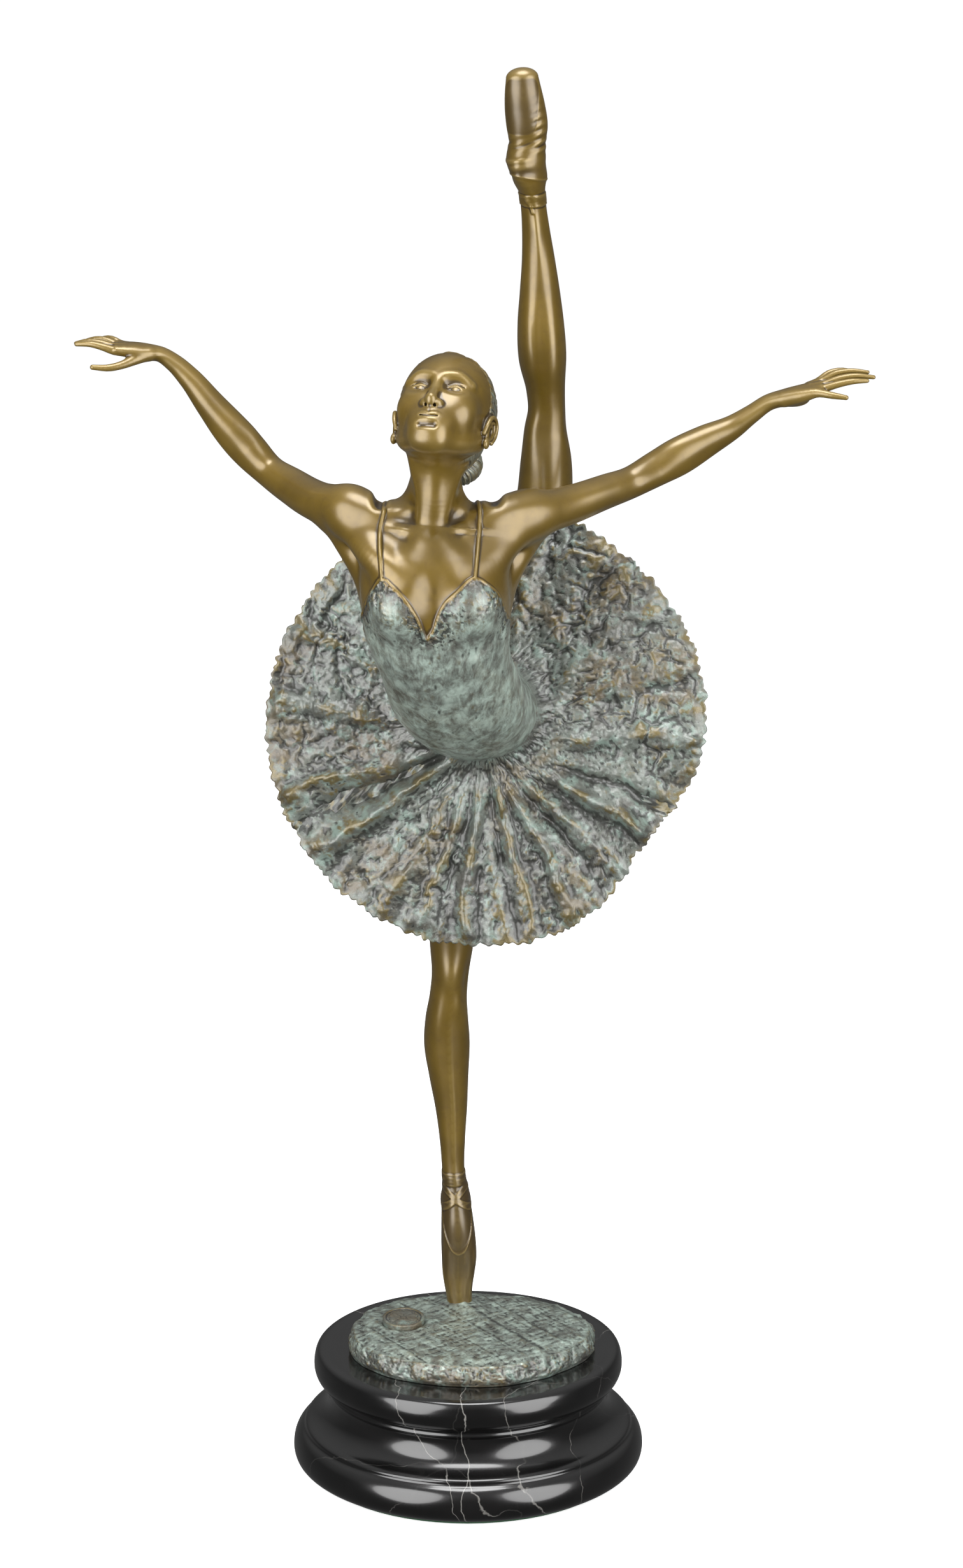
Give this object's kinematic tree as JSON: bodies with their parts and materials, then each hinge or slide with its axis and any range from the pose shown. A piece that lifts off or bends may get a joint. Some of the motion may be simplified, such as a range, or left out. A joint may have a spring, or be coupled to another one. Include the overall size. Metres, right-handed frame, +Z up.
{
  "type": "bronze ballerina statuette",
  "caption": "Patinated bronze figure of a ballet dancer balanced on one pointe in a high arabesque, on a bronze plinth and a round moulded black marble base.",
  "frame": {"origin": "middle of the underside of the felt pad, on the axis of the turned marble base", "axes": "+Z up along the axis of the marble base; the dancer's front faces -Y; +X is the viewer's right from the front"},
  "size_m": [0.4334, 0.218, 0.7973],
  "materials": {
    "brown_bronze": "satin",
    "verdigris_bronze": "matte",
    "marble": "polished",
    "felt": "matte",
    "fixings": "satin"
  },
  "bodies": {
    "root": {"felt_pad": "felt", "marble_base": "marble", "fixing_bolt_left": "fixings", "fixing_bolt_right": "fixings", "washer_left": "fixings", "washer_right": "fixings", "toe_dowel": "fixings", "plinth_casting": "verdigris_bronze", "foundry_medallion": "verdigris_bronze", "tutu_casting": "verdigris_bronze", "torso_casting": "verdigris_bronze", "pelvis_casting": "brown_bronze", "standing_leg_casting": "brown_bronze", "raised_leg_casting": "brown_bronze", "right_arm_casting": "brown_bronze", "left_arm_casting": "brown_bronze", "head_casting": "brown_bronze"}
  },
  "joints": []
}
